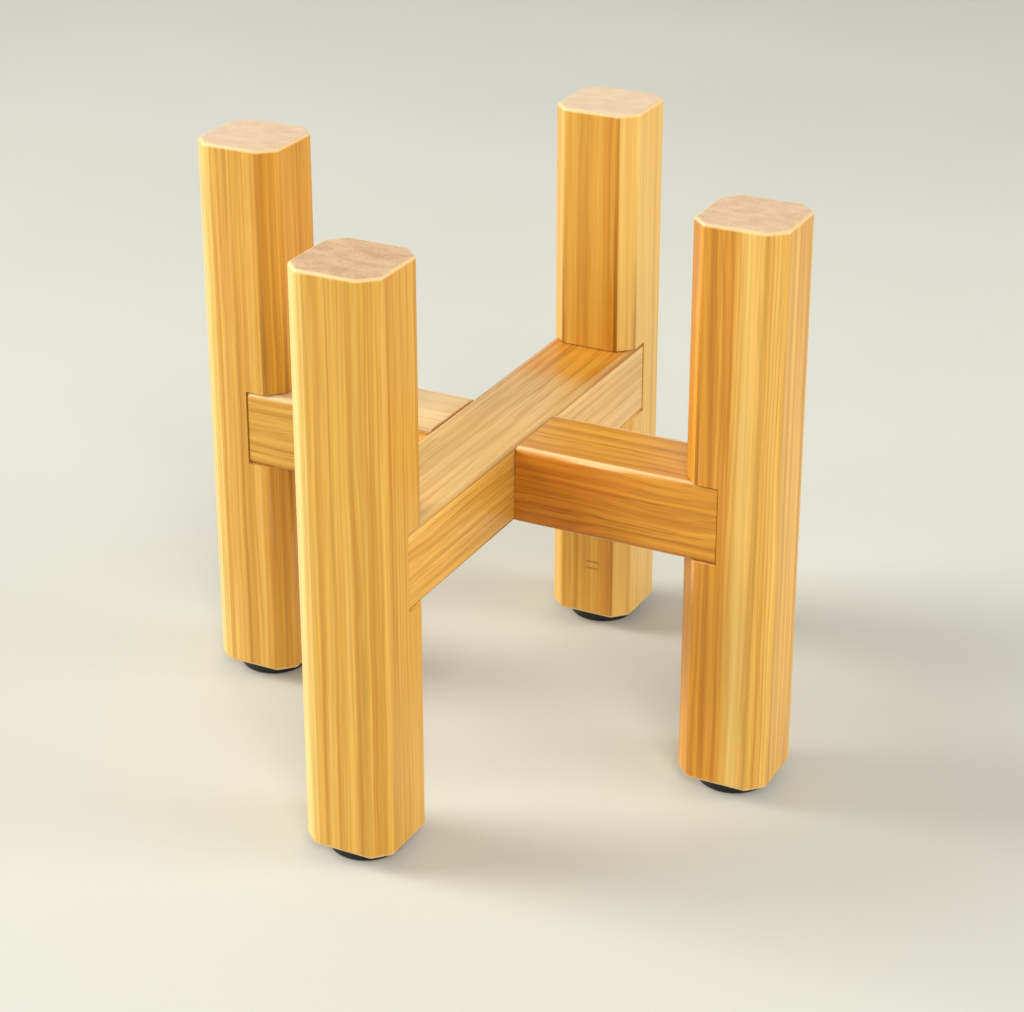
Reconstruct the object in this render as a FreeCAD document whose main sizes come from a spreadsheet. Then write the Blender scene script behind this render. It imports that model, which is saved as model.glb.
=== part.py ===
"""Low four-legged plant stand in laminated bamboo.

Two bars cross in a flush half lap. Each bar end sits in a housing cut across the inner half of a
chamfered post, pinned by a pair of hidden dowels. A round rubber pad sits under every post.

Frame: millimetres, +Z up, origin on the floor under the crossing. The upper bar runs along Y and the
lower bar along X.
"""
import FreeCAD, Part
import math
import os
import Sketcher

# Driving sizes in millimetres, one sheet cell each
SIZES = {
    "leg_length": 160.0,
    "leg_width": 26.0,
    "leg_chamfer": 4.5,
    "leg_edge_ease": 1.0,
    "leg_spacing": 148.0,
    "bar_level": 66.0,
    "bar_height": 22.0,
    "bar_edge_radius": 1.5,
    "side_reveal": 0.2,
    "seat_depth": 11.0,
    "fit_clearance": 0.25,
    "dowel_diameter": 6.0,
    "dowel_length": 25.0,
    "dowel_in_leg": 9.0,
    "dowel_pitch": 12.0,
    "dowel_clearance": 0.1,
    "dowel_tip_chamfer": 0.6,
    "glue_space": 0.5,
    "pad_diameter": 20.0,
    "pad_thickness": 4.0,
    "pad_rim_chamfer": 0.8,
}

# Sizes that follow from the driving ones, as expressions on the sheet
BAR_WIDTH = "(Sizes.leg_width - 2 * Sizes.side_reveal)"
LEG_RADIUS = "(Sizes.leg_spacing / 2)"
SEAT_RADIUS = "(Sizes.leg_spacing / 2 - Sizes.leg_width / 2 + Sizes.seat_depth)"
BAR_HALF_LENGTH = f"({SEAT_RADIUS} - Sizes.fit_clearance)"
BAR_BASE = "(Sizes.pad_thickness + Sizes.bar_level)"
SEAT_HEIGHT = "(Sizes.bar_height + Sizes.fit_clearance)"
DOWEL_HOLE_RADIUS = "(Sizes.dowel_diameter / 2 + Sizes.dowel_clearance)"
DOWEL_START = f"({SEAT_RADIUS} + Sizes.dowel_in_leg - Sizes.dowel_length)"

# Each post's compass name and the angle of its spoke, in degrees from +X
SPOKES = {"front": -90, "right": 0, "back": 90, "left": 180}
# The two dowels of a joint, either side of the bar's middle line
DOWEL_SIDES = {"a": -0.5, "b": 0.5}
# Lengths and sines below this count as nothing when edges are picked
TOLERANCE = 1e-6


def make_sheet(doc):
    """Writes the driving sizes into a sheet, each under its own alias."""
    sheet = doc.addObject("Spreadsheet::Sheet", "Sizes")
    for row, (alias, value) in enumerate(SIZES.items(), start=1):
        sheet.set(f"A{row}", alias)
        sheet.set(f"B{row}", str(value))
        sheet.setAlias(f"B{row}", alias)
    return sheet


def new_body(doc, name):
    """An empty body whose label names its piece."""
    body = doc.addObject("PartDesign::Body", name)
    body.Label = name
    return body


def new_sketch(body, name, role, offset=("0", "0", "0")):
    """A sketch on one of the body's origin planes, its own origin moved by three expressions."""
    sketch = body.newObject("Sketcher::SketchObject", name)
    plane = next(datum for datum in body.Origin.OriginFeatures if datum.Role == role)
    sketch.AttachmentSupport = [(plane, "")]
    sketch.MapMode = "FlatFace"
    for axis, expression in zip("xyz", offset):
        sketch.setExpression(f"AttachmentOffset.Base.{axis}", expression)
    return sketch


def rectangle(sketch, width, height):
    """A rectangle centred on the sketch's origin, sized by two expressions."""
    corners = [FreeCAD.Vector(x, y, 0) for x, y in ((-1, -1), (1, -1), (1, 1), (-1, 1))]
    for index, corner in enumerate(corners):
        sketch.addGeometry(Part.LineSegment(corner, corners[(index + 1) % 4]))
    for index in range(4):
        sketch.addConstraint(Sketcher.Constraint("Coincident", index, 2, (index + 1) % 4, 1))
        sketch.addConstraint(Sketcher.Constraint("Vertical" if index % 2 else "Horizontal", index))
    sketch.addConstraint(Sketcher.Constraint("Symmetric", 0, 1, 2, 1, -1, 1))
    across = sketch.addConstraint(Sketcher.Constraint("DistanceX", 0, 1, 0, 2, 2.0))
    upward = sketch.addConstraint(Sketcher.Constraint("DistanceY", 1, 1, 1, 2, 2.0))
    sketch.setExpression(f"Constraints[{across}]", width)
    sketch.setExpression(f"Constraints[{upward}]", height)


def disc(sketch, radius):
    """A circle on the sketch's origin."""
    circle = sketch.addGeometry(Part.Circle(FreeCAD.Vector(), FreeCAD.Vector(0, 0, 1), 1.0))
    sketch.addConstraint(Sketcher.Constraint("Coincident", circle, 3, -1, 1))
    size = sketch.addConstraint(Sketcher.Constraint("Radius", circle, 1.0))
    sketch.setExpression(f"Constraints[{size}]", radius)


def dowel_circles(sketch):
    """The two mouths of a joint's dowel holes, level with the sketch's origin and mirrored about it."""
    for x in (-5, 5):
        sketch.addGeometry(Part.Circle(FreeCAD.Vector(x, 0, 0), FreeCAD.Vector(0, 0, 1), 1.0))
    sketch.addConstraint(Sketcher.Constraint("PointOnObject", 0, 3, -1))
    sketch.addConstraint(Sketcher.Constraint("Symmetric", 0, 3, 1, 3, -1, 1))
    sketch.addConstraint(Sketcher.Constraint("Equal", 0, 1))
    pitch = sketch.addConstraint(Sketcher.Constraint("DistanceX", 0, 3, 1, 3, 10.0))
    size = sketch.addConstraint(Sketcher.Constraint("Radius", 0, 1.0))
    sketch.setExpression(f"Constraints[{pitch}]", "Sizes.dowel_pitch")
    sketch.setExpression(f"Constraints[{size}]", DOWEL_HOLE_RADIUS)


def pad(body, name, sketch, length):
    """Thickens a sketch along its normal."""
    feature = body.newObject("PartDesign::Pad", name)
    feature.Profile = sketch
    feature.setExpression("Length", length)
    return feature


def cut_through(body, name, sketch):
    """Cuts a sketch right through the body, both ways from its plane."""
    feature = body.newObject("PartDesign::Pocket", name)
    feature.Profile = sketch
    feature.Type = "ThroughAll"
    feature.SideType = "Symmetric"
    return feature


def drill(body, name, sketch, depth, reverse):
    """Cuts blind holes from a sketch, against its normal unless reversed."""
    feature = body.newObject("PartDesign::Pocket", name)
    feature.Profile = sketch
    feature.Reversed = reverse
    feature.setExpression("Length", depth)
    return feature


def edge_names(feature, wanted):
    """Names of the edges of a computed feature that pass a test."""
    return [f"Edge{i}" for i, edge in enumerate(feature.Shape.Edges, start=1) if wanted(edge)]


def runs_along(edge, axis):
    """True for a straight edge parallel to the axis."""
    straight = edge.Curve.TypeId == "Part::GeomLine"
    return straight and edge.tangentAt(edge.FirstParameter).cross(axis).Length < TOLERANCE


def chamfer(body, name, base, edges, size):
    """Cuts the named edges of the base feature at 45 degrees."""
    feature = body.newObject("PartDesign::Chamfer", name)
    feature.Base = (base, edges)
    feature.setExpression("Size", size)
    return feature


def fillet(body, name, base, edges, radius):
    """Rounds the named edges of the base feature."""
    feature = body.newObject("PartDesign::Fillet", name)
    feature.Base = (base, edges)
    feature.setExpression("Radius", radius)
    return feature


def put_on_spoke(piece, angle, radius, height, sideways="0"):
    """Turns a piece to its spoke and places it at a radius, a height and a step sideways."""
    along_x = round(math.cos(math.radians(angle)))
    along_y = round(math.sin(math.radians(angle)))
    piece.Placement = FreeCAD.Placement(
        FreeCAD.Vector(), FreeCAD.Rotation(FreeCAD.Vector(0, 0, 1), angle)
    )
    piece.setExpression("Placement.Base.x", f"{along_x} * ({radius}) - {along_y} * ({sideways})")
    piece.setExpression("Placement.Base.y", f"{along_y} * ({radius}) + {along_x} * ({sideways})")
    piece.setExpression("Placement.Base.z", height)


def make_leg(doc, name):
    """A post standing on its own origin, its outer face towards +X and its housing open towards -X."""
    body = new_body(doc, name)
    section = new_sketch(body, f"{name}_section", "XY_Plane")
    rectangle(section, "Sizes.leg_width", "Sizes.leg_width")
    post = pad(body, f"{name}_post", section, "Sizes.leg_length")
    doc.recompute()
    corners = edge_names(post, lambda edge: runs_along(edge, FreeCAD.Vector(0, 0, 1)))
    facets = chamfer(body, f"{name}_facets", post, corners, "Sizes.leg_chamfer")
    doc.recompute()
    every_edge = edge_names(facets, lambda edge: True)
    chamfer(body, f"{name}_eased_edges", facets, every_edge, "Sizes.leg_edge_ease")

    seat_middle = f"Sizes.bar_level + {SEAT_HEIGHT} / 2"
    seat = new_sketch(body, f"{name}_seat", "XZ_Plane", ("-Sizes.leg_width / 2", seat_middle, "0"))
    rectangle(seat, "2 * Sizes.seat_depth", SEAT_HEIGHT)
    cut_through(body, f"{name}_housing", seat)

    seat_back = "Sizes.seat_depth - Sizes.leg_width / 2"
    bar_middle = "Sizes.bar_level + Sizes.bar_height / 2"
    mouths = new_sketch(body, f"{name}_dowel_mouths", "YZ_Plane", ("0", bar_middle, seat_back))
    dowel_circles(mouths)
    drill(body, f"{name}_dowel_holes", mouths, "Sizes.dowel_in_leg + Sizes.glue_space", True)
    return body


def make_bar(doc, name, lap_level):
    """A bar along X on its own origin, with a lap notch cut from one face to half its height."""
    body = new_body(doc, name)
    plan = new_sketch(body, f"{name}_plan", "XY_Plane")
    rectangle(plan, f"2 * {BAR_HALF_LENGTH}", BAR_WIDTH)
    blank = pad(body, f"{name}_blank", plan, "Sizes.bar_height")
    doc.recompute()
    long_edges = edge_names(blank, lambda edge: runs_along(edge, FreeCAD.Vector(1, 0, 0)))
    fillet(body, f"{name}_eased_edges", blank, long_edges, "Sizes.bar_edge_radius")

    lap = new_sketch(body, f"{name}_lap", "XZ_Plane", ("0", lap_level, "0"))
    rectangle(lap, f"{BAR_WIDTH} + 2 * Sizes.fit_clearance", "Sizes.bar_height")
    cut_through(body, f"{name}_lap_notch", lap)

    hole_depth = "Sizes.dowel_length - Sizes.dowel_in_leg - Sizes.fit_clearance + Sizes.glue_space"
    for end, face, reverse in (("near", f"-{BAR_HALF_LENGTH}", True), ("far", BAR_HALF_LENGTH, False)):
        mouths = new_sketch(body, f"{name}_{end}_mouths", "YZ_Plane", ("0", "Sizes.bar_height / 2", face))
        dowel_circles(mouths)
        drill(body, f"{name}_{end}_dowel_holes", mouths, hole_depth, reverse)
    return body


def make_dowel(doc, name):
    """A round pin along +X from its own origin, with chamfered tips."""
    body = new_body(doc, name)
    section = new_sketch(body, f"{name}_section", "YZ_Plane")
    disc(section, "Sizes.dowel_diameter / 2")
    pin = pad(body, f"{name}_pin", section, "Sizes.dowel_length")
    doc.recompute()
    rims = edge_names(pin, lambda edge: edge.Curve.TypeId == "Part::GeomCircle")
    chamfer(body, f"{name}_tips", pin, rims, "Sizes.dowel_tip_chamfer")
    return body


def make_foot_pad(doc, name):
    """A round pad on the floor, its lower rim chamfered."""
    body = new_body(doc, name)
    section = new_sketch(body, f"{name}_section", "XY_Plane")
    disc(section, "Sizes.pad_diameter / 2")
    puck = pad(body, f"{name}_puck", section, "Sizes.pad_thickness")
    doc.recompute()
    lower_rim = edge_names(
        puck, lambda edge: edge.Curve.TypeId == "Part::GeomCircle" and edge.CenterOfMass.z < TOLERANCE
    )
    chamfer(body, f"{name}_rim", puck, lower_rim, "Sizes.pad_rim_chamfer")
    return body


def make_pieces(doc):
    """Builds and places every piece of the stand."""
    pieces = []
    for compass, angle in SPOKES.items():
        leg = make_leg(doc, f"{compass}_leg")
        put_on_spoke(leg, angle, LEG_RADIUS, "Sizes.pad_thickness")
        foot = make_foot_pad(doc, f"{compass}_foot_pad")
        put_on_spoke(foot, angle, LEG_RADIUS, "0")
        pieces += [leg, foot]
        for letter, side in DOWEL_SIDES.items():
            dowel = make_dowel(doc, f"{compass}_dowel_{letter}")
            middle = f"{BAR_BASE} + Sizes.bar_height / 2"
            put_on_spoke(dowel, angle, DOWEL_START, middle, f"{side} * Sizes.dowel_pitch")
            pieces.append(dowel)

    upper = make_bar(doc, "upper_cross_bar", "0")
    put_on_spoke(upper, SPOKES["back"], "0", BAR_BASE)
    lower = make_bar(doc, "lower_cross_bar", "Sizes.bar_height")
    put_on_spoke(lower, SPOKES["right"], "0", BAR_BASE)
    return pieces + [upper, lower]


def check(doc, pieces):
    """Stops before anything is written if a feature or a shape came out wrong."""
    failed = [item.Name for item in doc.Objects if {"Invalid", "Error"} & set(item.State)]
    if failed:
        raise RuntimeError(f"features failed: {failed}")
    for piece in pieces:
        if piece.Shape.isNull() or not piece.Shape.isValid() or len(piece.Shape.Solids) != 1:
            raise RuntimeError(f"{piece.Label} is not one valid solid")


def main():
    """Builds the stand and writes one file per piece."""
    doc = FreeCAD.newDocument("plant_stand")
    make_sheet(doc)
    doc.recompute()
    pieces = make_pieces(doc)
    doc.recompute()
    check(doc, pieces)
    os.makedirs("parts", exist_ok=True)
    for piece in pieces:
        piece.Shape.exportStep(os.path.join("parts", f"{piece.Label}.step"))
        print(f"{piece.Label}: {piece.Shape.Volume:.1f} mm3")


main()
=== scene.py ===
"""The plant stand's looks: laminated bamboo posts and half-lapped bars on rubber foot pads.

Every piece is modelled at the size and place of its CAD node, in metres, in the part's own frame.
The hidden dowels stay CAD nodes and get a wood finish.
"""

import logging
import math
from collections.abc import Callable, Iterable
from dataclasses import dataclass, field
from enum import Enum

import bmesh
import bpy
from mathutils import Matrix, Vector

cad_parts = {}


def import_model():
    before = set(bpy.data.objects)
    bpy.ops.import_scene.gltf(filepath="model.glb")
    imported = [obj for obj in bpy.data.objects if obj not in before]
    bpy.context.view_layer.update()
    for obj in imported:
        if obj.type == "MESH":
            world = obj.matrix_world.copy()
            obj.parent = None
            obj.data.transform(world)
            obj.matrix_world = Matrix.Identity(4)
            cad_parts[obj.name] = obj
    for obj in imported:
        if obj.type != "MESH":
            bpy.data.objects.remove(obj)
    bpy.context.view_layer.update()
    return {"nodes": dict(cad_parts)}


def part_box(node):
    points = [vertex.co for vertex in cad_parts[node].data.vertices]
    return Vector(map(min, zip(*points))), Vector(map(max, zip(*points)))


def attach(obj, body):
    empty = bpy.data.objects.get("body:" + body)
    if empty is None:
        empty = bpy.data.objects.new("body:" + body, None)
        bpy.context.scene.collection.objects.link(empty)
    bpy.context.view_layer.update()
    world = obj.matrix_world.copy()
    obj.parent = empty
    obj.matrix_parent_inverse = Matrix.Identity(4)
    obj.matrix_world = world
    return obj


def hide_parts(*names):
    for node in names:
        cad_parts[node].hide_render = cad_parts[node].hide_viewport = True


LOG = logging.getLogger("plant_stand")

MM = 0.001
BODY = "root"
IMAGE_WIDTH = 1024
IMAGE_HEIGHT = 1012
# Lengths below this, in metres, count as nothing when faces and edges are picked
TOLERANCE = 1e-6
# Faces that meet at less than the first angle are one, and at more than the second are sharp
FLAT_ANGLE = math.radians(0.5)
SHARP_ANGLE = math.radians(60.0)
# The axes across a notch, which runs along Y
NOTCH_AXES = (0, 2)
# A bevel of one segment is a flat chamfer, and this profile makes one of more segments round
CHAMFER = 1
ROUND_PROFILE = 0.5
# The mesh attribute that marks the eased edges, which get paler wood with a painted highlight
EASED = "eased"
# The values that a noise mostly takes, and their middle
NOISE_SPAN = (0.3, 0.7)
NOISE_MIDDLE = 0.5
# A Mix node's colour sockets, which share their names with its number sockets
MIX_BASE = 6
MIX_OVER = 7
MIX_RESULT = 2

Triple = tuple[float, float, float]
Colour = Triple
Span = tuple[float, float]
Stops = tuple[tuple[float, Colour], ...]
Socket = bpy.types.NodeSocket
Value = Socket | float
Paint = Socket | Colour
Edge = bmesh.types.BMEdge


class Spoke(Enum):
    """The side of the stand that a post is on, with its angle from +X in degrees."""

    FRONT = -90.0
    RIGHT = 0.0
    BACK = 90.0
    LEFT = 180.0

    @property
    def word(self) -> str:
        """The spoke's name as the CAD nodes spell it."""
        return self.name.lower()


class Grain(Enum):
    """The way a piece's fibres run, with the turn in degrees that brings them to a pattern's Z."""

    UPRIGHT = (0.0, 0.0, 0.0)
    ALONG_Y = (90.0, 0.0, 0.0)
    ALONG_X = (0.0, -90.0, 0.0)


class LapFace(Enum):
    """The face of a bar that its lap notch is cut from."""

    TOP = "top"
    UNDERSIDE = "underside"


class ToneEdge(Enum):
    """How one colour of a ramp goes over into the next: at once, or little by little."""

    SHARP = "CONSTANT"
    BLENDED = "LINEAR"


class StripAxis(Enum):
    """The axis of a blank's own coordinates that its strips lie side by side along."""

    X = "X"
    Y = "Y"


class Surface(Enum):
    """The material slots of a bamboo piece, by index."""

    SIDE_GRAIN = 0
    END_GRAIN = 1


@dataclass(frozen=True)
class Pattern:
    """One noise of a finish: cells per millimetre along each axis, a seed, and how fine it goes."""

    cells: Triple
    seed: float
    detail: float = 2.0
    rough: float = 0.5


@dataclass(frozen=True)
class Layer:
    """A pattern that lets another colour show, up to its strength, over a span of its values."""

    pattern: Pattern
    span: Span
    strength: float


class ShaderBench:
    """A new material's node tree, with the few steps that the finishes are mixed from."""

    def __init__(self, name: str) -> None:
        """Starts a material with a plain shader.

        Args:
            name: The material's name.
        """
        self.material = bpy.data.materials.new(name)
        self.material.use_nodes = True
        self.tree = self.material.node_tree
        self.shader = self.tree.nodes["Principled BSDF"]

    def node(self, kind: str, **settings: object) -> bpy.types.Node:
        """Adds a node.

        Args:
            kind: The node's type name.
            **settings: Properties to set on it.

        Returns:
            The new node.
        """
        node = self.tree.nodes.new(kind)
        for name, value in settings.items():
            setattr(node, name, value)
        return node

    def feed(self, target: Socket, value: Value | tuple[float, ...]) -> None:
        """Links a socket to another, or sets its constant.

        Args:
            target: The input that is fed.
            value: An output socket or a constant.
        """
        if isinstance(value, Socket):
            self.tree.links.new(value, target)
        else:
            target.default_value = value

    def place(self, centre: Vector, grain: Grain) -> Socket:
        """Gives a piece's own coordinates in millimetres, with Z along its grain.

        Args:
            centre: The piece's middle, in metres.
            grain: The way its fibres run.

        Returns:
            The vector socket.
        """
        turn = [math.radians(angle) for angle in grain.value]
        scale = 1.0 / MM
        coordinates = self.node("ShaderNodeTexCoord")
        mapping = self.node("ShaderNodeMapping", vector_type="POINT")
        mapping.inputs["Rotation"].default_value = turn
        mapping.inputs["Scale"].default_value = (scale, scale, scale)
        rotation = Matrix.Rotation(turn[1], 3, "Y") @ Matrix.Rotation(turn[0], 3, "X")
        mapping.inputs["Location"].default_value = -(rotation @ centre) * scale
        self.feed(mapping.inputs["Vector"], coordinates.outputs["Object"])
        return mapping.outputs["Vector"]

    def stretch(self, place: Socket, factors: Triple) -> Socket:
        """Scales coordinates along each axis by its own factor.

        Args:
            place: The coordinates.
            factors: The factors along X, Y and Z.

        Returns:
            The scaled coordinates.
        """
        step = self.node("ShaderNodeVectorMath", operation="MULTIPLY")
        self.feed(step.inputs[0], place)
        self.feed(step.inputs[1], factors)
        return step.outputs["Vector"]

    def noise(self, place: Socket, pattern: Pattern, seed: float = 0.0) -> Socket:
        """Gives a noise that is stretched along the axes.

        Args:
            place: Coordinates in millimetres.
            pattern: The noise's cells and octaves.
            seed: The piece's own seed, added to the pattern's.

        Returns:
            The noise's value socket.
        """
        texture = self.node("ShaderNodeTexNoise", noise_dimensions="4D")
        texture.inputs["Scale"].default_value = 1.0
        texture.inputs["Detail"].default_value = pattern.detail
        texture.inputs["Roughness"].default_value = pattern.rough
        texture.inputs["W"].default_value = seed + pattern.seed
        self.feed(texture.inputs["Vector"], self.stretch(place, pattern.cells))
        return texture.outputs["Fac"]

    def maths(self, operation: str, *values: Value) -> Socket:
        """Combines values with one arithmetic step.

        Args:
            operation: The Math node's operation.
            *values: Its operands.

        Returns:
            The result socket.
        """
        step = self.node("ShaderNodeMath", operation=operation)
        for target, value in zip(step.inputs, values):
            self.feed(target, value)
        return step.outputs["Value"]

    def window(self, value: Value, span: Span, to: Span = (0.0, 1.0)) -> Socket:
        """Takes a value smoothly from one range to another.

        Args:
            value: The value.
            span: Where the range starts and ends.
            to: What its start and its end become.

        Returns:
            The result socket.
        """
        step = self.node("ShaderNodeMapRange", interpolation_type="SMOOTHSTEP")
        self.feed(step.inputs["Value"], value)
        for name, bound in zip(("From Min", "From Max", "To Min", "To Max"), (*span, *to)):
            step.inputs[name].default_value = bound
        return step.outputs["Result"]

    def shows(self, noise: Socket, layer: Layer, figure: float = 1.0) -> Socket:
        """Gives how much of a layer's colour shows, with the blank's figure in its strength."""
        return self.window(noise, layer.span, (0.0, layer.strength * figure))

    def ramp(self, factor: Value, stops: Stops, edge: ToneEdge = ToneEdge.BLENDED) -> Socket:
        """Turns a value into a colour.

        Args:
            factor: The value, from 0 to 1.
            stops: Positions and colours, in order.
            edge: How colours run between stops.

        Returns:
            The colour socket.
        """
        step = self.node("ShaderNodeValToRGB")
        step.color_ramp.interpolation = edge.value
        marks = step.color_ramp.elements
        while len(marks) < len(stops):
            marks.new(1.0)
        for mark, (position, colour) in zip(marks, stops):
            mark.position = position
            mark.color = (*colour, 1.0)
        self.feed(step.inputs["Fac"], factor)
        return step.outputs["Color"]

    def mix(self, factor: Value, base: Paint, over: Paint, blend: str = "MIX") -> Socket:
        """Lays one colour over another.

        Args:
            factor: How much of the upper colour shows.
            base: The lower colour.
            over: The upper colour.
            blend: How they combine.

        Returns:
            The colour socket.
        """
        step = self.node("ShaderNodeMix", data_type="RGBA", blend_type=blend)
        self.feed(step.inputs[0], factor)
        for socket, colour in ((MIX_BASE, base), (MIX_OVER, over)):
            linked = isinstance(colour, Socket)
            self.feed(step.inputs[socket], colour if linked else (*colour, 1.0))
        return step.outputs[MIX_RESULT]

    def attribute(self, name: str) -> Socket:
        """Reads a value that the mesh carries."""
        return self.node("ShaderNodeAttribute", attribute_name=name).outputs["Fac"]

    def axis(self, place: Socket, name: str) -> Socket:
        """Gives one axis of a vector.

        Args:
            place: The vector.
            name: The axis: X, Y or Z.

        Returns:
            The value socket.
        """
        split = self.node("ShaderNodeSeparateXYZ")
        self.feed(split.inputs["Vector"], place)
        return split.outputs[name]

    def surface(self, colour: Socket, roughness: Socket) -> None:
        """Feeds the shader its colour and its roughness."""
        self.feed(self.shader.inputs["Base Color"], colour)
        self.feed(self.shader.inputs["Roughness"], roughness)

    def bump(self, height: Value, depth: float, strength: float) -> None:
        """Puts relief on the shader.

        Args:
            height: The relief, from 0 to 1.
            depth: How deep it is, in metres.
            strength: How much of it shows.
        """
        step = self.node("ShaderNodeBump")
        step.inputs["Strength"].default_value = strength
        step.inputs["Distance"].default_value = depth
        self.feed(step.inputs["Height"], height)
        self.feed(self.shader.inputs["Normal"], step.outputs["Normal"])


@dataclass(frozen=True)
class Zone:
    """A stretch along a blank where strips take other tones, in millimetres from its middle."""

    starts: float
    full: float
    tones: tuple[float, ...]


@dataclass(frozen=True)
class BlankCut:
    """How one bamboo blank was glued up, in millimetres.

    Tones are places on the finish's scale of tone stops, one for each strip. On the bars, some tones
    and zones paint light, shade and reflections instead of wood tone. Wander is how far the fibres
    sway.
    Contrast, figure, glue, pin_lines and calm are strengths: of the streaks, the dark fibres, the
    glue lines, the fine lines and the smoothness of cream strips. The end sheen is the strength of a
    painted sheen on the sawn ends, more on the posts farther back. A node mark has its place across
    the strips and along the grain.
    """

    seed: float
    tones: tuple[float, ...]
    contrast: float
    figure: float
    zones: tuple[Zone, ...] = ()
    strip_width: float = 6.5
    strip_axis: StripAxis = StripAxis.X
    strip_edge: ToneEdge = ToneEdge.SHARP
    glue: float = 0.16
    wander: float = 0.6
    pin_lines: float = 0.30
    calm: float = 0.6
    end_sheen: float = 0.0
    mark_at: Span | None = None


@dataclass(frozen=True)
class BambooFinish:
    """Golden laminated bamboo under a satin varnish, on its sides and on its ends.

    Widths, pitches and drifts of lines are in millimetres, and reliefs in metres.
    """

    light: Colour = (0.80, 0.480, 0.088)
    golden: Colour = (0.73, 0.395, 0.056)
    ochre: Colour = (0.62, 0.305, 0.034)
    dark: Colour = (0.50, 0.215, 0.018)
    fibre: Colour = (0.32, 0.120, 0.012)
    # Paler wood with a painted highlight, laid along the eased edges
    pale_edge_and_highlight: Colour = (0.90, 0.66, 0.34)
    end_light: Colour = (0.69, 0.470, 0.278)
    end_dark: Colour = (0.51, 0.298, 0.152)
    # The painted sheen that the sawn ends are lifted towards, more on the posts farther back
    end_sheen_colour: Colour = (0.86, 0.72, 0.52)
    # Below the cream tone the stops also carry painted light: the palest gives the lower bar's top a
    # painted reflection, and the upper bar's top behind the crossing is lifted with them
    tone_stops: Stops = (
        (-1.5, (1.22, 1.55, 4.50)),
        (-1.0, (1.08, 1.24, 3.10)),
        (-0.75, (0.98, 1.09, 2.05)),
        (-0.5, (1.20, 1.42, 2.60)),
        (0.0, (1.10, 1.14, 1.55)),
        (0.4, (1.0, 1.0, 1.0)),
        (0.8, (0.94, 0.74, 0.40)),
        (1.0, (0.74, 0.46, 0.18)),
    )
    cream_tone: float = -0.5
    streaks: Pattern = Pattern((0.55, 0.55, 0.004), 0.0, rough=0.55)
    shade_steps: tuple[float, ...] = (-0.14, -0.05, 0.02, 0.12)
    gleam: Layer = Layer(Pattern((1.5, 1.5, 0.012), 5.0, 1.0), (0.56, 0.72), 0.55)
    fine: Layer = Layer(Pattern((1.2, 1.2, 0.022), 7.0), (0.56, 0.66), 0.36)
    dashes: Layer = Layer(Pattern((2.6, 2.6, 0.030), 9.0, 1.0), (0.58, 0.74), 0.30)
    sway: Pattern = Pattern((0.07, 0.07, 0.022), 17.0, rough=0.6)
    line_sway: Pattern = Pattern((0.12, 0.12, 0.006), 21.0, 1.0)
    line_gaps: Pattern = Pattern((0.35, 0.35, 0.010), 23.0, 1.0)
    line_gap_span: Span = (0.36, 0.56)
    line_pitch: float = 1.9
    line_drift: float = 12.0
    line_width: Span = (0.15, 0.50)
    glue_width: Span = (0.10, 0.35)
    ridge_half: float = 1.1
    ridge_width: Span = (0.10, 0.55)
    ridge_strength: float = 0.6
    ridge_fade: float = 0.94
    clouds: Pattern = Pattern((0.16, 0.30, 0.05), 11.0, 3.0, 0.6)
    bundles: Pattern = Pattern((1.3, 1.9, 0.1), 13.0, rough=0.6)
    cloud_share: float = 0.6
    end_span: Span = (0.38, 0.60)
    # How strongly the eased edges show the paler wood and painted highlight, on the sides and on the
    # ends
    edge_paleness: float = 0.8
    end_edge_paleness: float = 0.7
    roughness: float = 0.30
    roughness_range: float = 0.22
    end_roughness: float = 0.48
    end_roughness_range: float = 0.25
    relief: float = 0.06 * MM
    end_relief: float = 0.10 * MM
    relief_strength: float = 0.5
    specular: float = 0.3
    varnish: float = 0.32
    varnish_roughness: float = 0.36

    def side_grain(
        self, name: str, centre: Vector, grain: Grain, cut: BlankCut
    ) -> bpy.types.Material:
        """Mixes the long-grain finish of one piece.

        Args:
            name: The material's name.
            centre: The piece's middle, in metres.
            grain: The way its fibres run.
            cut: How its blank was glued up.

        Returns:
            The material.
        """
        bench = ShaderBench(name)
        place = bench.place(centre, grain)
        swayed = self._swayed(bench, place, cut)

        streak = bench.noise(swayed, self.streaks, cut.seed)
        shades = zip(self.shade_steps, (self.dark, self.ochre, self.golden, self.light))
        stops = tuple((NOISE_MIDDLE + step / cut.contrast, shade) for step, shade in shades)
        colour = bench.ramp(streak, stops)
        gleam = bench.noise(swayed, self.gleam.pattern, cut.seed)
        colour = bench.mix(bench.shows(gleam, self.gleam), colour, self.light)
        fine = bench.noise(swayed, self.fine.pattern, cut.seed)
        colour = bench.mix(bench.shows(fine, self.fine, cut.figure), colour, self.dark)
        dashes = bench.noise(swayed, self.dashes.pattern, cut.seed)
        fibres = bench.shows(dashes, self.dashes, cut.figure)
        colour = bench.mix(fibres, colour, self.fibre)
        colour = bench.mix(self._pin_lines(bench, swayed, cut), colour, self.dark)
        colour = self._strip_tones(bench, colour, place, cut)
        relief = bench.maths("SUBTRACT", fine, fibres)
        if cut.mark_at is not None:
            mark = self._node_mark(bench, place, cut)
            colour = bench.mix(mark, colour, self.fibre)
            relief = bench.maths("SUBTRACT", relief, mark)
        # Paler wood and a painted highlight along the eased edges
        eased = bench.maths("MULTIPLY", bench.attribute(EASED), self.edge_paleness)
        colour = bench.mix(eased, colour, self.pale_edge_and_highlight)

        grit = bench.maths("MULTIPLY", fine, self.roughness_range)
        bench.surface(colour, bench.maths("ADD", grit, self.roughness))
        bench.bump(relief, self.relief, self.relief_strength)
        self._varnish(bench)
        return bench.material

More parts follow.
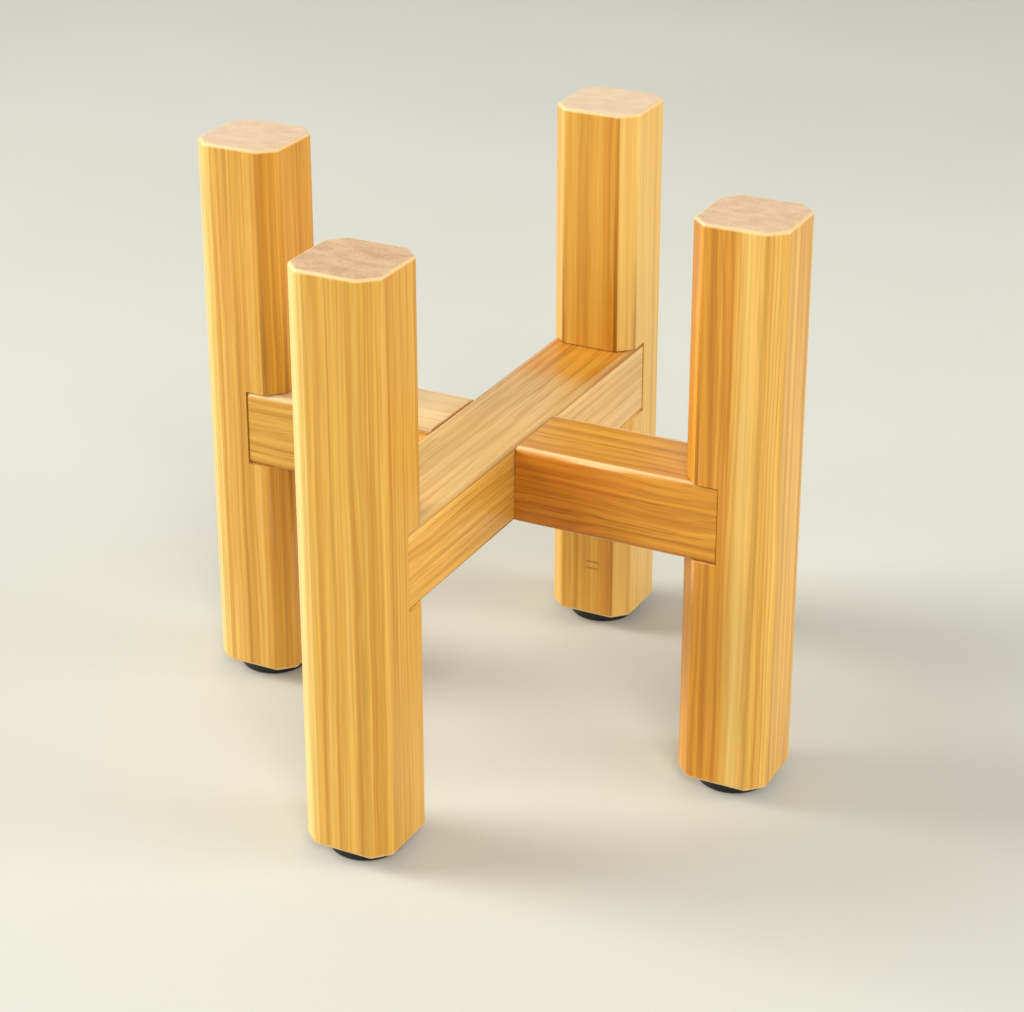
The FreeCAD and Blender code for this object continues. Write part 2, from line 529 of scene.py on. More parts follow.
    def end_grain(self, name: str, centre: Vector, cut: BlankCut) -> bpy.types.Material:
        """Mixes the finish of a post's sawn ends: fibre bundles cut across, in soft clouds of tone.

        Args:
            name: The material's name.
            centre: The post's middle, in metres.
            cut: How its blank was glued up.

        Returns:
            The material.
        """
        bench = ShaderBench(name)
        place = bench.place(centre, Grain.UPRIGHT)
        clouds = bench.noise(place, self.clouds, cut.seed)
        bundles = bench.noise(place, self.bundles, cut.seed)
        soft = bench.maths("MULTIPLY", clouds, self.cloud_share)
        crisp = bench.maths("MULTIPLY", bundles, 1.0 - self.cloud_share)
        # The ends are lifted towards a painted sheen, more on the posts farther back
        pale = Vector(self.end_sheen_colour)
        ends = [Vector(end).lerp(pale, cut.end_sheen) for end in (self.end_dark, self.end_light)]
        stops = tuple((at, tuple(end)) for at, end in zip(self.end_span, ends))
        colour = bench.ramp(bench.maths("ADD", soft, crisp), stops)
        # Paler wood and a painted highlight along the eased rims
        eased = bench.maths("MULTIPLY", bench.attribute(EASED), self.end_edge_paleness)
        colour = bench.mix(eased, colour, self.pale_edge_and_highlight)

        grit = bench.maths("MULTIPLY", bundles, self.end_roughness_range)
        bench.surface(colour, bench.maths("ADD", grit, self.end_roughness))
        bench.bump(bundles, self.end_relief, self.relief_strength)
        return bench.material

    def _swayed(self, bench: ShaderBench, place: Socket, cut: BlankCut) -> Socket:
        """Lets the fibres wander sideways along the grain.

        Args:
            bench: The material being mixed.
            place: The piece's coordinates in millimetres.
            cut: How its blank was glued up, with how far its fibres wander.

        Returns:
            The shifted coordinates.
        """
        drift = bench.noise(place, self.sway, cut.seed)
        centred = bench.maths("SUBTRACT", drift, NOISE_MIDDLE)
        shift = bench.maths("MULTIPLY", centred, 2.0 * cut.wander)
        sideways = bench.node("ShaderNodeCombineXYZ")
        bench.feed(sideways.inputs["X"], shift)
        bench.feed(sideways.inputs["Y"], shift)
        total = bench.node("ShaderNodeVectorMath", operation="ADD")
        bench.feed(total.inputs[0], place)
        bench.feed(total.inputs[1], sideways.outputs["Vector"])
        return total.outputs["Vector"]

    def _pin_lines(self, bench: ShaderBench, swayed: Socket, cut: BlankCut) -> Socket:
        """Draws fine dark lines along the fibres, at a pitch that drifts a little.

        Args:
            bench: The material being mixed.
            swayed: Coordinates that follow the fibres, in millimetres.
            cut: How the blank was glued up, with how strong its lines are.

        Returns:
            The lines' strength.
        """
        drift = bench.noise(swayed, self.line_sway, cut.seed)
        across = bench.maths("ADD", bench.axis(swayed, "X"), bench.axis(swayed, "Y"))
        phase = bench.maths("ADD", across, bench.maths("MULTIPLY", drift, self.line_drift))
        gap = bench.maths("PINGPONG", phase, self.line_pitch / 2)
        line = bench.window(gap, self.line_width, (cut.pin_lines, 0.0))
        gaps = bench.noise(swayed, self.line_gaps, cut.seed)
        return bench.maths("MULTIPLY", line, bench.window(gaps, self.line_gap_span))

    def _strip_tones(
        self, bench: ShaderBench, colour: Socket, place: Socket, cut: BlankCut
    ) -> Socket:
        """Makes each glued strip a little lighter or darker, with a fine glue line between them.

        Args:
            bench: The material being mixed.
            colour: The colour so far.
            place: The piece's coordinates in millimetres.
            cut: How its blank was glued up.

        Returns:
            The new colour.
        """
        full = len(cut.tones) * cut.strip_width
        across = bench.maths("ADD", bench.axis(place, cut.strip_axis.value), full / 2)
        share = bench.maths("DIVIDE", across, full)
        edge = cut.strip_edge
        tint = bench.ramp(share, self._tints(cut.tones), edge)
        calm = bench.ramp(share, self._calms(cut.tones, cut.calm), edge)
        for zone in cut.zones:
            inside = bench.window(bench.axis(place, "Z"), (zone.starts, zone.full))
            tint = bench.mix(inside, tint, bench.ramp(share, self._tints(zone.tones), edge))
            zone_calm = bench.ramp(share, self._calms(zone.tones, cut.calm), edge)
            calm = bench.mix(inside, calm, zone_calm)
        toned = bench.mix(1.0, bench.mix(calm, colour, self.light), tint, "MULTIPLY")
        gap = bench.maths("PINGPONG", across, cut.strip_width / 2)
        line = bench.window(gap, self.glue_width, (cut.glue, 0.0))
        return bench.mix(line, toned, self.fibre)

    def _tints(self, tones: tuple[float, ...]) -> Stops:
        """Gives the strips' tints, as stops across the blank."""
        return tuple((index / len(tones), self._tint(tone)) for index, tone in enumerate(tones))

    def _calms(self, tones: tuple[float, ...], calm: float) -> Stops:
        """Gives how far the pale strips hide their streaks, as stops across the blank.

        Args:
            tones: The strips' tones.
            calm: How much a fully cream strip hides.

        Returns:
            Grey stops, from 0 for streaks in full.
        """
        shares = [calm * min(1.0, max(0.0, tone / self.cream_tone)) for tone in tones]
        return tuple((index / len(tones), (share,) * 3) for index, share in enumerate(shares))

    def _tint(self, tone: float) -> Colour:
        """Gives the tint of one tone, from the nearest two tone stops.

        Args:
            tone: A place on the scale of tone stops.

        Returns:
            The colour that the wood is multiplied by.
        """
        for (low, pale), (high, deep) in zip(self.tone_stops, self.tone_stops[1:]):
            if tone <= high:
                share = (tone - low) / (high - low)
                return tuple(Vector(pale).lerp(Vector(deep), share))
        return self.tone_stops[-1][1]

    def _node_mark(self, bench: ShaderBench, place: Socket, cut: BlankCut) -> Socket:
        """Draws the faint ridge of a bamboo node across one strip, as two fine lines.

        Args:
            bench: The material being mixed.
            place: The piece's coordinates in millimetres.
            cut: How its blank was glued up, with the mark's place.

        Returns:
            The mark's strength.
        """
        across_at, along_at = cut.mark_at
        across = bench.maths("SUBTRACT", bench.axis(place, cut.strip_axis.value), across_at)
        along = bench.maths("SUBTRACT", bench.axis(place, "Z"), along_at)
        half = cut.strip_width / 2
        sideways = bench.maths("ABSOLUTE", across)
        on_strip = bench.window(sideways, (self.ridge_fade * half, half), (1.0, 0.0))
        beside = bench.maths("SUBTRACT", bench.maths("ABSOLUTE", along), self.ridge_half)
        from_line = bench.maths("ABSOLUTE", beside)
        ridge = bench.window(from_line, self.ridge_width, (self.ridge_strength, 0.0))
        return bench.maths("MULTIPLY", on_strip, ridge)

    def _varnish(self, bench: ShaderBench) -> None:
        """Lays the satin varnish over the wood.

        Args:
            bench: The material being mixed.
        """
        bench.shader.inputs["Specular IOR Level"].default_value = self.specular
        bench.shader.inputs["Coat Weight"].default_value = self.varnish
        bench.shader.inputs["Coat Roughness"].default_value = self.varnish_roughness


@dataclass(frozen=True)
class RubberFinish:
    """Black moulded rubber with a fine grain and a little dust on its faces."""

    deep: Colour = (0.003, 0.003, 0.003)
    dusty: Colour = (0.014, 0.0135, 0.013)
    dust: Pattern = Pattern((0.5, 0.5, 0.8), 2.0, 4.0, 0.6)
    dust_span: Span = (0.42, 0.72)
    grain: Pattern = Pattern((6.0, 6.0, 6.0), 4.0, rough=0.6)
    roughness: Span = (0.30, 0.52)
    relief: float = 0.05 * MM
    relief_strength: float = 0.4

    def mix(self, name: str, centre: Vector) -> bpy.types.Material:
        """Mixes the rubber of one pad.

        Args:
            name: The material's name.
            centre: The pad's middle, in metres.

        Returns:
            The material.
        """
        bench = ShaderBench(name)
        place = bench.place(centre, Grain.UPRIGHT)
        dust = bench.noise(place, self.dust)
        colour = bench.ramp(dust, tuple(zip(self.dust_span, (self.deep, self.dusty))))
        bench.surface(colour, bench.window(dust, NOISE_SPAN, self.roughness))
        bench.bump(bench.noise(place, self.grain), self.relief, self.relief_strength)
        return bench.material


@dataclass(frozen=True)
class DowelFinish:
    """Bare turned hardwood with a straight, fine grain."""

    light: Colour = (0.70, 0.52, 0.31)
    dark: Colour = (0.50, 0.33, 0.17)
    lines: Pattern = Pattern((1.6, 1.6, 0.06), 5.0, 3.0, 0.6)
    line_span: Span = (0.35, 0.65)
    roughness: Span = (0.72, 0.58)
    relief: float = 0.08 * MM
    relief_strength: float = 0.4

    def mix(self, name: str, centre: Vector, grain: Grain) -> bpy.types.Material:
        """Mixes the wood of one dowel.

        Args:
            name: The material's name.
            centre: The dowel's middle, in metres.
            grain: The way its fibres run.

        Returns:
            The material.
        """
        bench = ShaderBench(name)
        place = bench.place(centre, grain)
        lines = bench.noise(place, self.lines)
        colour = bench.ramp(lines, tuple(zip(self.line_span, (self.dark, self.light))))
        bench.surface(colour, bench.window(lines, NOISE_SPAN, self.roughness))
        bench.bump(lines, self.relief, self.relief_strength)
        return bench.material


@dataclass(frozen=True)
class FloorPaint:
    """Plain pale matt paint with very faint, wide clouds."""

    light: Colour = (0.66, 0.670, 0.600)
    dark: Colour = (0.63, 0.640, 0.570)
    clouds: Pattern = Pattern((0.004, 0.004, 0.004), 1.0, 3.0)
    cloud_span: Span = (0.35, 0.65)
    roughness: Span = (0.85, 0.75)
    specular: float = 0.2

    def mix(self) -> bpy.types.Material:
        """Mixes the paint.

        Returns:
            The material.
        """
        bench = ShaderBench("floor_paint")
        place = bench.place(Vector((0.0, 0.0, 0.0)), Grain.UPRIGHT)
        clouds = bench.noise(place, self.clouds)
        colour = bench.ramp(clouds, tuple(zip(self.cloud_span, (self.dark, self.light))))
        bench.surface(colour, bench.window(clouds, NOISE_SPAN, self.roughness))
        bench.shader.inputs["Specular IOR Level"].default_value = self.specular
        return bench.material


@dataclass
class BenchPiece:
    """One solid on the bench: a bmesh that operators shape and that then becomes an object."""

    name: str
    bm: bmesh.types.BMesh = field(default_factory=bmesh.new)

    def __post_init__(self) -> None:
        """Gives the mesh the layer that marks its eased edges."""
        self.eased = self.bm.verts.layers.float.new(EASED)

    def block(self, size: Vector) -> None:
        """Starts from a rectangular block about the origin."""
        bmesh.ops.create_cube(self.bm, size=1.0)
        bmesh.ops.scale(self.bm, vec=size, verts=self.bm.verts)

    def edges_where(self, test: Callable[[Edge], bool]) -> list[Edge]:
        """Lists the edges that pass a test."""
        return [edge for edge in self.bm.edges if test(edge)]

    def bevel(self, edges: list[Edge], width: float, segments: int, pale: bool = False) -> None:
        """Cuts or rounds edges.

        Args:
            edges: The edges.
            width: How far the cut reaches along each face, in metres.
            segments: Faces across the cut. One makes a flat chamfer.
            pale: Whether the rounded edge shows paler wood with a painted highlight.
        """
        cut = bmesh.ops.bevel(
            self.bm,
            geom=edges,
            offset=width,
            offset_type="OFFSET",
            segments=segments,
            profile=ROUND_PROFILE,
            affect="EDGES",
            clamp_overlap=True,
            material=-1,
        )
        rounded = set(cut["faces"])
        for face in rounded:
            face.smooth = segments > CHAMFER
        if not pale:
            return
        for vertex in cut["verts"]:
            if all(face in rounded for face in vertex.link_faces):
                vertex[self.eased] = 1.0

    def slice(self, point: Vector, normal: Vector) -> None:
        """Cuts all faces along a plane, and keeps both sides."""
        geometry = [*self.bm.verts, *self.bm.edges, *self.bm.faces]
        bmesh.ops.bisect_plane(
            self.bm, geom=geometry, dist=TOLERANCE, plane_co=point, plane_no=normal
        )

    def notch(self, low: Vector, high: Vector, floor_normal: Vector) -> None:
        """Cuts a notch that goes right through the block along Y.

        Args:
            low: The notch's lowest corner. A side that is outside the block is open.
            high: Its highest corner.
            floor_normal: The way the notch's floor faces, out of the wood.
        """
        for axis in NOTCH_AXES:
            for corner in (low, high):
                normal = Vector((0.0, 0.0, 0.0))
                normal[axis] = 1.0
                self.slice(corner, normal)
        waste = [face for face in self.bm.faces if self._between(face, low, high)]
        bmesh.ops.delete(self.bm, geom=waste, context="FACES")
        rims = self.edges_where(lambda edge: self._on_floor(edge, low, high, floor_normal))
        bmesh.ops.contextual_create(self.bm, geom=rims)
        open_edges = self.edges_where(lambda edge: edge.is_boundary)
        bmesh.ops.holes_fill(self.bm, edges=open_edges, sides=0)
        bmesh.ops.dissolve_limit(
            self.bm,
            angle_limit=FLAT_ANGLE,
            verts=self.bm.verts,
            edges=self.bm.edges,
            delimit={"MATERIAL"},
        )

    @staticmethod
    def _between(face: bmesh.types.BMFace, low: Vector, high: Vector) -> bool:
        """Says whether a face's middle is inside a notch, seen along Y."""
        middle = face.calc_center_median()
        return all(low[axis] < middle[axis] < high[axis] for axis in NOTCH_AXES)

    @staticmethod
    def _on_floor(edge: Edge, low: Vector, high: Vector, normal: Vector) -> bool:
        """Says whether an open edge is one of the two long sides of a notch's floor.

        Args:
            edge: The edge.
            low: The notch's lowest corner.
            high: Its highest corner.
            normal: The way the floor faces.

        Returns:
            True for an open floor edge that doesn't run along Y.
        """
        if not edge.is_boundary:
            return False
        axis = max(NOTCH_AXES, key=lambda index: abs(normal[index]))
        level = low[axis] if normal[axis] > 0.0 else high[axis]
        ends = [vertex.co for vertex in edge.verts]
        flat = all(abs(end[axis] - level) < TOLERANCE for end in ends)
        return flat and abs(ends[0].y - ends[1].y) < TOLERANCE

    def finish(self, turn: float, move: Vector) -> bpy.types.Object:
        """Puts the solid in its place and makes it an object.

        Args:
            turn: Degrees about Z.
            move: Where its own origin goes, in metres.

        Returns:
            The object, at the origin and unturned.
        """
        rotation = Matrix.Rotation(math.radians(turn), 3, "Z")
        bmesh.ops.rotate(self.bm, cent=(0.0, 0.0, 0.0), matrix=rotation, verts=self.bm.verts)
        bmesh.ops.translate(self.bm, vec=move, verts=self.bm.verts)
        bmesh.ops.recalc_face_normals(self.bm, faces=self.bm.faces)
        mesh = bpy.data.meshes.new(self.name)
        self.bm.to_mesh(mesh)
        self.bm.free()
        piece = bpy.data.objects.new(self.name, mesh)
        bpy.context.scene.collection.objects.link(piece)
        return piece


def dress(
    piece: bpy.types.Object, node: str, materials: Iterable[bpy.types.Material]
) -> None:
    """Gives a piece its materials and sets it in the place of its CAD node.

    Args:
        piece: The finished piece.
        node: The CAD node that it stands for.
        materials: Its materials, in slot order.
    """
    for material in materials:
        piece.data.materials.append(material)
    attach(piece, BODY)
    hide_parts(node)
    LOG.info("%s: %d faces, stands for %s", piece.name, len(piece.data.polygons), node)


def is_upright(edge: Edge) -> bool:
    """Says whether an edge runs along Z."""
    run = edge.verts[1].co - edge.verts[0].co
    return run.xy.length < TOLERANCE


def is_level(edge: Edge) -> bool:
    """Says whether an edge runs level."""
    run = edge.verts[1].co - edge.verts[0].co
    return abs(run.z) < TOLERANCE


def is_sharp(edge: Edge) -> bool:
    """Says whether two faces meet at an edge at more than the sharp angle."""
    return edge.calc_face_angle(0.0) > SHARP_ANGLE


@dataclass
class Post:
    """An upright: a square post with broad facets, eased edges and a housing for a bar's end."""

    spoke: Spoke
    cut: BlankCut
    finish: BambooFinish
    facet: float = 4.5 * MM
    end_ease: float = 1.0 * MM
    facet_ease: float = 0.7 * MM
    ease_segments: int = 3
    end_facing: float = 0.9
    seat_depth: float = 11.0 * MM
    seat_clearance: float = 0.25 * MM

    @property
    def node(self) -> str:
        """The post's CAD node."""
        return f"{self.spoke.word}_leg"

    def build(self, bar_base: float, bar_top: float) -> bpy.types.Object:
        """Makes the post.

        Args:
            bar_base: The level of the bars' undersides, in metres.
            bar_top: The level of their tops.

        Returns:
            The finished post.
        """
        low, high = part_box(self.node)
        centre = (low + high) / 2
        size = high - low
        name = f"{self.spoke.word}_post"
        piece = BenchPiece(name)
        piece.block(size)
        self._facet(piece)
        seat_low = Vector((-size.x, -size.y, bar_base - centre.z))
        seat_top = bar_top + self.seat_clearance - centre.z
        seat_high = Vector((self.seat_depth - size.x / 2, size.y, seat_top))
        piece.notch(seat_low, seat_high, Vector((-1.0, 0.0, 0.0)))
        self._mark_ends(piece, size.z / 2 - self.end_ease)
        post = piece.finish(self.spoke.value, centre)
        sides = self.finish.side_grain(f"{name}_sides", centre, Grain.UPRIGHT, self.cut)
        ends = self.finish.end_grain(f"{name}_ends", centre, self.cut)
        dress(post, self.node, (sides, ends))
        return post

    def _facet(self, piece: BenchPiece) -> None:
        """Planes the four facets, then eases the long edges and the ends.

        Args:
            piece: The post's solid, still a plain block.
        """
        piece.bevel(piece.edges_where(is_upright), self.facet, CHAMFER)
        piece.bevel(piece.edges_where(is_upright), self.facet_ease, self.ease_segments)
        end_rims = piece.edges_where(lambda edge: is_level(edge) and is_sharp(edge))
        # The end rims get paler wood with a painted highlight
        piece.bevel(end_rims, self.end_ease, self.ease_segments, pale=True)

    def _mark_ends(self, piece: BenchPiece, level: float) -> None:
        """Gives the sawn ends the end-grain slot, and the rest the side-grain slot.

        Args:
            piece: The post's solid, upright about the origin.
            level: How far from its middle its ends begin, in metres.
        """
        for face in piece.bm.faces:
            at_end = abs(face.calc_center_median().z) > level
            sawn = at_end and abs(face.normal.z) > self.end_facing
            surface = Surface.END_GRAIN if sawn else Surface.SIDE_GRAIN
            face.material_index = surface.value


@dataclass
class CrossBar:
    """A bar between two opposite posts, with eased long edges and a lap notch at its middle."""

    node: str
    grain: Grain
    lap: LapFace
    cut: BlankCut
    finish: BambooFinish
    edge_radius: float = 1.5 * MM
    edge_segments: int = 4
    # The band of paler wood with a painted highlight along each rounded edge: its width and its
    # strength
    pale_band: float = 0.7 * MM
    paleness: float = 1.0
    end_ease: float = 0.35 * MM
    end_segments: int = 2
    lap_clearance: float = 0.25 * MM

    def build(self) -> bpy.types.Object:
        """Makes the bar.

        Returns:
            The finished bar.
        """
        low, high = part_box(self.node)
        centre = (low + high) / 2
        size = high - low
        along_y = self.grain is Grain.ALONG_Y
        width = size.x if along_y else size.y
        length = size.y if along_y else size.x
        piece = BenchPiece(f"{self.node}_dressed")
        piece.block(Vector((length, width, size.z)))
        piece.bevel(piece.edges_where(self._runs_long), self.edge_radius, self.edge_segments)
        ends = piece.edges_where(lambda edge: is_sharp(edge) and not self._runs_long(edge))
        piece.bevel(ends, self.end_ease, self.end_segments)
        self._cut_lap(piece, width, size.z)
        self._mark_edges(piece, width / 2)
        bar = piece.finish(90.0 if along_y else 0.0, centre)
        sides = self.finish.side_grain(f"{self.node}_sides", centre, self.grain, self.cut)
        dress(bar, self.node, (sides,))
        return bar

    def _cut_lap(self, piece: BenchPiece, width: float, height: float) -> None:
        """Cuts the half-height lap notch that the other bar sits in.

        Args:
            piece: The bar's solid, along X about the origin.
            width: The bars' width.
            height: The bars' height.
        """
        reach = width / 2 + self.lap_clearance
        base, top, facing = (-height, 0.0, -1.0)
        if self.lap is LapFace.TOP:
            base, top, facing = (0.0, height, 1.0)
        low = Vector((-reach, -width, base))
        high = Vector((reach, width, top))
        piece.notch(low, high, Vector((0.0, 0.0, facing)))

    def _mark_edges(self, piece: BenchPiece, half: float) -> None:
        """Marks the bands of paler wood with a painted highlight along the rounded edges.

        Args:
            piece: The bar's solid, along X about the origin.
            half: Half the bar's width.
        """
        start = half - self.edge_radius
        inner = start - self.pale_band
        for side in (-1.0, 1.0):
            piece.slice(Vector((0.0, side * inner, 0.0)), Vector((0.0, 1.0, 0.0)))
        for vertex in piece.bm.verts:
            if start - TOLERANCE < abs(vertex.co.y) < start + self.edge_radius / 2:
                vertex[piece.eased] = self.paleness

    @staticmethod
    def _runs_long(edge: Edge) -> bool:
        """Says whether an edge runs along the bar."""
        run = edge.verts[1].co - edge.verts[0].co
        return run.yz.length < TOLERANCE


@dataclass
class FootPad:
    """A round rubber pad under a post, with a soft rim and a shallow hollow underneath."""

    spoke: Spoke
    finish: RubberFinish
    segments: int = 64
    rim_ease: float = 0.8 * MM
    rim_segments: int = 4
    sole_rim: float = 2.2 * MM
    sole_hollow: float = 0.25 * MM
    flat_facing: float = 0.99

    @property
    def node(self) -> str:
        """The pad's CAD node."""
        return f"{self.spoke.word}_foot_pad"

    def build(self) -> bpy.types.Object:
        """Makes the pad.

        Returns:
            The finished pad.
        """
        low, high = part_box(self.node)
        centre = (low + high) / 2
        size = high - low
        piece = BenchPiece(f"{self.spoke.word}_pad")
        bmesh.ops.create_cone(
            piece.bm,
            cap_ends=True,
            segments=self.segments,
            radius1=size.x / 2,
            radius2=size.x / 2,
            depth=size.z,
        )
        self._hollow_sole(piece, size.z / 2)
        rims = piece.edges_where(lambda edge: is_level(edge) and is_sharp(edge))
        piece.bevel(rims, self.rim_ease, self.rim_segments)
        for face in piece.bm.faces:
            face.smooth = abs(face.normal.z) < self.flat_facing
        pad = piece.finish(0.0, centre)
        rubber = self.finish.mix(f"{self.spoke.word}_pad_rubber", centre)
        dress(pad, self.node, (rubber,))
        return pad

    def _hollow_sole(self, piece: BenchPiece, half: float) -> None:
        """Presses a shallow hollow into the sole, inside its rim.

        Args:
            piece: The pad's solid, upright about the origin.
            half: Half the pad's thickness, in metres.
        """
        lowest = TOLERANCE - half
        sole = [face for face in piece.bm.faces if face.calc_center_median().z < lowest]
        bmesh.ops.inset_region(piece.bm, faces=sole, thickness=self.sole_rim, use_even_offset=True)
        bmesh.ops.inset_region(
            piece.bm, faces=sole, thickness=self.sole_hollow, depth=-self.sole_hollow
        )


@dataclass
class DowelSet:
    """The hidden dowels, two in each joint. They stay CAD nodes and get a wood finish."""

    spoke: Spoke
    finish: DowelFinish

    def dress(self, nodes: dict[str, bpy.types.Object]) -> None:
        """Finishes the joint's two dowels.

        Args:
            nodes: The CAD nodes by name.
        """
        along_y = self.spoke in (Spoke.FRONT, Spoke.BACK)
        grain = Grain.ALONG_Y if along_y else Grain.ALONG_X
        for letter in "ab":
            name = f"{self.spoke.word}_dowel_{letter}"
            low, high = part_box(name)
            materials = nodes[name].data.materials
            materials.clear()
            materials.append(self.finish.mix(f"{name}_wood", (low + high) / 2, grain))
            LOG.info("%s: CAD node, wood finish", name)


@dataclass(frozen=True)
class SoftLight:
    """One soft box of the studio, aimed at the stand's middle."""

    name: str
    place: Triple
    size: float
    watts: float
    colour: Colour
    spread: float = 180.0

    def build(self, target: Vector) -> bpy.types.Object:
        """Hangs the light.

        Args:
            target: Where it aims, in metres.

        Returns:
            The light.
        """
        data = bpy.data.lights.new(self.name, "AREA")
        data.shape = "DISK"
        data.size = self.size
        data.energy = self.watts
        data.color = self.colour
        data.spread = math.radians(self.spread)
        light = bpy.data.objects.new(self.name, data)
        light.location = self.place
        light.visible_camera = False
        light.rotation_mode = "QUATERNION"
        light.rotation_quaternion = (target - Vector(self.place)).to_track_quat("-Z", "Y")
        bpy.context.scene.collection.objects.link(light)
        return light


@dataclass
class Studio:
    """A plain pale floor, soft light from all round and a few soft boxes."""

    floor_size: float = 12.0
    paint: FloorPaint = FloorPaint()
    ambient: float = 0.40
    ambient_colour: Colour = (1.0, 0.985, 0.95)
    target: Triple = (0.0, 0.0, 0.08)
    lights: tuple[SoftLight, ...] = (
        SoftLight("key_box", (-2.04, -0.66, 1.10), 1.50, 14.5, (1.0, 0.98, 0.94), 80.0),
        SoftLight("front_box", (1.05, -1.43, 1.39), 0.90, 19.0, (1.0, 0.98, 0.95)),
        SoftLight("fill_box", (1.89, 0.45, 0.79), 1.20, 4.8, (1.0, 0.98, 0.95), 80.0),
        SoftLight("back_box", (-0.90, 1.80, 1.10), 1.50, 2.5, (1.0, 0.98, 0.95)),
    )

    def build(self) -> None:
        """Lays the floor, hangs the lights and sets the ambient light."""
        self._floor()
        for light in self.lights:
            light.build(Vector(self.target))
            LOG.info("%s: %.1f W soft box", light.name, light.watts)
        world = bpy.data.worlds.new("studio_air")
        world.use_nodes = True
        background = world.node_tree.nodes["Background"]
        background.inputs["Color"].default_value = (*self.ambient_colour, 1.0)
        background.inputs["Strength"].default_value = self.ambient
        bpy.context.scene.world = world
        bpy.context.scene.view_settings.view_transform = "Standard"

    def _floor(self) -> None:
        """Lays a plain pale floor under the stand."""
        bm = bmesh.new()
        bmesh.ops.create_grid(bm, x_segments=1, y_segments=1, size=self.floor_size / 2)
        mesh = bpy.data.meshes.new("studio_floor")
        bm.to_mesh(mesh)
        bm.free()
        floor = bpy.data.objects.new("studio_floor", mesh)
        bpy.context.scene.collection.objects.link(floor)
        mesh.materials.append(self.paint.mix())


@dataclass(frozen=True)
class PhotoCamera:
    """The camera at the photograph's viewing angle. Focal length and centre are in its pixels."""

    place: Triple = (0.2940, -0.5700, 0.3733)
    turn: float = 26.75
    tilt: float = 22.96
    focal: float = 2550.0
    centre: Span = (515.5, 390.0)
    sensor: float = 36.0
    clip_start: float = 0.01

    def build(self) -> bpy.types.Object:
        """Sets up the camera and makes it the scene's own.

        Returns:
            The camera.
        """
        data = bpy.data.cameras.new("photo_camera")
        data.sensor_fit = "HORIZONTAL"
        data.sensor_width = self.sensor
        data.lens = self.focal * self.sensor / IMAGE_WIDTH
        data.shift_x = (IMAGE_WIDTH / 2 - self.centre[0]) / IMAGE_WIDTH
        data.shift_y = (self.centre[1] - IMAGE_HEIGHT / 2) / IMAGE_WIDTH
        data.clip_start = self.clip_start
        camera = bpy.data.objects.new("photo_camera", data)
        camera.location = self.place
        camera.rotation_euler = (math.radians(90.0 - self.tilt), 0.0, math.radians(self.turn))
        bpy.context.scene.collection.objects.link(camera)
        bpy.context.scene.camera = camera
        return camera


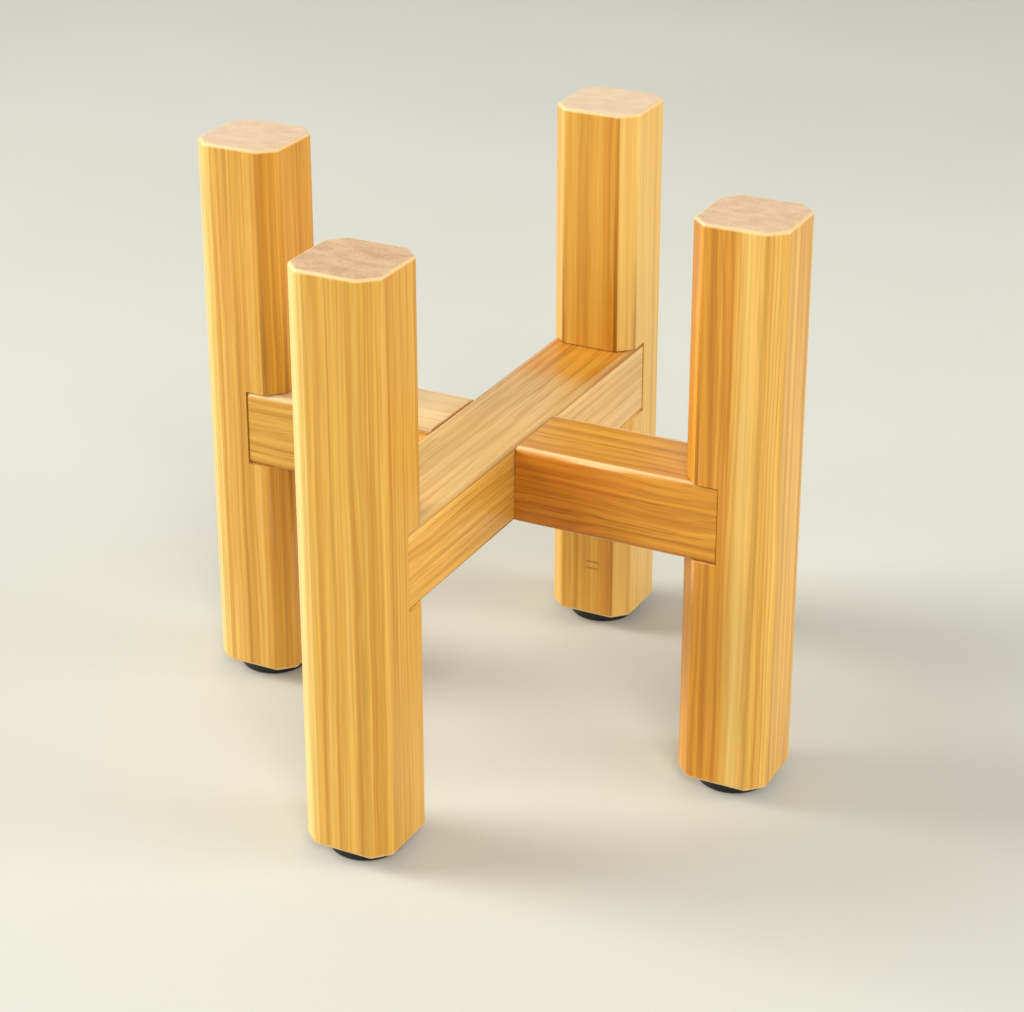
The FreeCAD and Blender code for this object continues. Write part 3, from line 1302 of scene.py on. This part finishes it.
@dataclass
class PlantStand:
    """The whole stand: posts, crossed bars, pads and hidden dowels."""

    bamboo: BambooFinish = field(default_factory=BambooFinish)
    rubber: RubberFinish = field(default_factory=RubberFinish)
    dowel_wood: DowelFinish = field(default_factory=DowelFinish)
    # Each post's end sheen is a painted sheen on its sawn ends, more on the posts farther back
    post_cuts: dict[Spoke, BlankCut] = field(
        default_factory=lambda: {
            Spoke.FRONT: BlankCut(
                seed=1.3, tones=(-0.50, 0.26, 0.32, 0.34), contrast=0.5, figure=0.7, calm=0.3
            ),
            Spoke.RIGHT: BlankCut(
                seed=5.1,
                tones=(0.70, 0.74, 0.78, 0.70, -0.38, 0.05),
                strip_width=4.33,
                strip_edge=ToneEdge.BLENDED,
                glue=0.05,
                contrast=0.6,
                figure=0.8,
                pin_lines=0.45,
                end_sheen=0.22,
            ),
            Spoke.BACK: BlankCut(
                seed=9.7,
                tones=(0.10, 0.36, 0.44, 0.52, 0.62, -0.20),
                strip_width=4.33,
                glue=0.08,
                contrast=0.45,
                figure=0.5,
                pin_lines=0.2,
                end_sheen=0.48,
                mark_at=(2.17, -63.0),
            ),
            Spoke.LEFT: BlankCut(
                seed=14.2,
                tones=(-0.45, 0.06, 0.26, 0.55),
                contrast=0.55,
                figure=0.8,
                calm=0.2,
                end_sheen=0.38,
            ),
        }
    )
    # Behind the crossing the upper bar's top is painted paler, painted light where it lies in shade,
    # and its sides turn paler; at the back end the top turns amber, a painted reflection of the back
    # post.
    upper_cut: BlankCut = BlankCut(
        seed=21.4,
        tones=(-0.75, 0.14, 0.35),
        zones=(Zone(-12.0, 12.0, (-0.9, -1.0, 0.35)), Zone(28.0, 44.0, (0.72, -1.0, 0.35))),
        strip_width=20.4,
        strip_axis=StripAxis.Y,
        glue=0.6,
        wander=0.8,
        contrast=0.45,
        figure=1.9,
        pin_lines=0.0,
        calm=0.1,
    )
    # The lower bar's cream top ply is a painted reflection, with painted light where the left post
    # shades it. From the crossing on, the zone turns the near side deep amber: partly the wood's
    # tone, partly painted shade where the upper bar shades it.
    lower_cut: BlankCut = BlankCut(
        seed=27.8,
        tones=(-1.5, 0.30, 0.40),
        zones=(
            Zone(-55.0, -40.0, (-1.5, 0.05, 0.40)),
            Zone(-22.0, 4.0, (0.64, 1.0, 0.70)),
            Zone(28.0, 60.0, (0.60, 0.80, 0.62)),
        ),
        strip_width=20.4,
        strip_axis=StripAxis.X,
        glue=0.3,
        wander=2.6,
        contrast=0.6,
        figure=1.4,
        pin_lines=0.0,
    )

    def build(self, nodes: dict[str, bpy.types.Object]) -> None:
        """Makes every piece of the stand.

        Args:
            nodes: The CAD nodes by name.
        """
        bar_low, bar_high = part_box("upper_cross_bar")
        for spoke in Spoke:
            Post(spoke, self.post_cuts[spoke], self.bamboo).build(bar_low.z, bar_high.z)
            FootPad(spoke, self.rubber).build()
            DowelSet(spoke, self.dowel_wood).dress(nodes)
        upper_lap, lower_lap = LapFace.UNDERSIDE, LapFace.TOP
        CrossBar(
            "upper_cross_bar", Grain.ALONG_Y, upper_lap, self.upper_cut, self.bamboo, paleness=0.5
        ).build()
        CrossBar("lower_cross_bar", Grain.ALONG_X, lower_lap, self.lower_cut, self.bamboo).build()


def main() -> None:
    """Loads the frame, builds the stand on it and sets up the studio."""
    logging.basicConfig(level=logging.INFO, format="%(name)s %(message)s")
    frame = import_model()
    PlantStand().build(frame["nodes"])
    Studio().build()
    PhotoCamera().build()


if __name__ == "__main__":
    main()
